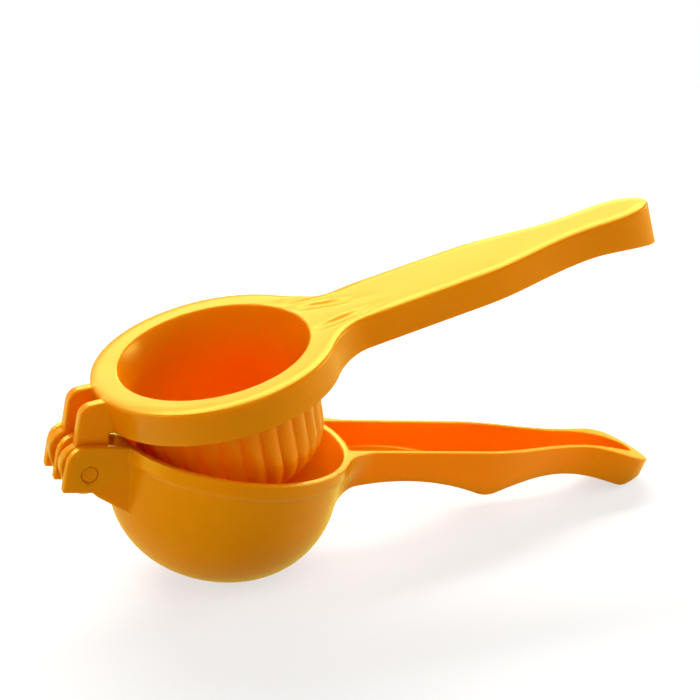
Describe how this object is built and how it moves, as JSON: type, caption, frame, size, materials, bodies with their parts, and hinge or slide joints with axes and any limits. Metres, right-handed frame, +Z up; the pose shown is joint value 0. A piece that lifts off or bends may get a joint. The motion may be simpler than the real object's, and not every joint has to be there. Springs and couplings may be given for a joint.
{
  "type": "hinged lemon squeezer",
  "caption": "Hand-held plastic citrus squeezer: a strainer bowl and a fluted press cup on two hinged lever handles.",
  "frame": {"origin": "the point where the bowl's bottom touches the table, on the squeezer's plane of symmetry", "axes": "+X along the handles towards their tips, +Z up, +Y across the squeezer along the hinge"},
  "size_m": [0.2282, 0.0824, 0.1112],
  "materials": {
    "bowl_arm_plastic": "glossy moulded orange",
    "press_arm_plastic": "glossy moulded orange",
    "hinge_pin_plastic": "satin orange"
  },
  "bodies": {
    "bowl_arm": {"bowl_arm": "bowl_arm_plastic", "hinge_pin": "hinge_pin_plastic"},
    "press_arm": {"press_arm": "press_arm_plastic"}
  },
  "joints": [
    {"name": "squeeze_hinge", "type": "hinge", "parent": "bowl_arm", "child": "press_arm", "pos_m": [-0.05618, 0, 0.05035], "axis": [0, -1, 0], "range_deg": [-22.2, 88]}
  ]
}
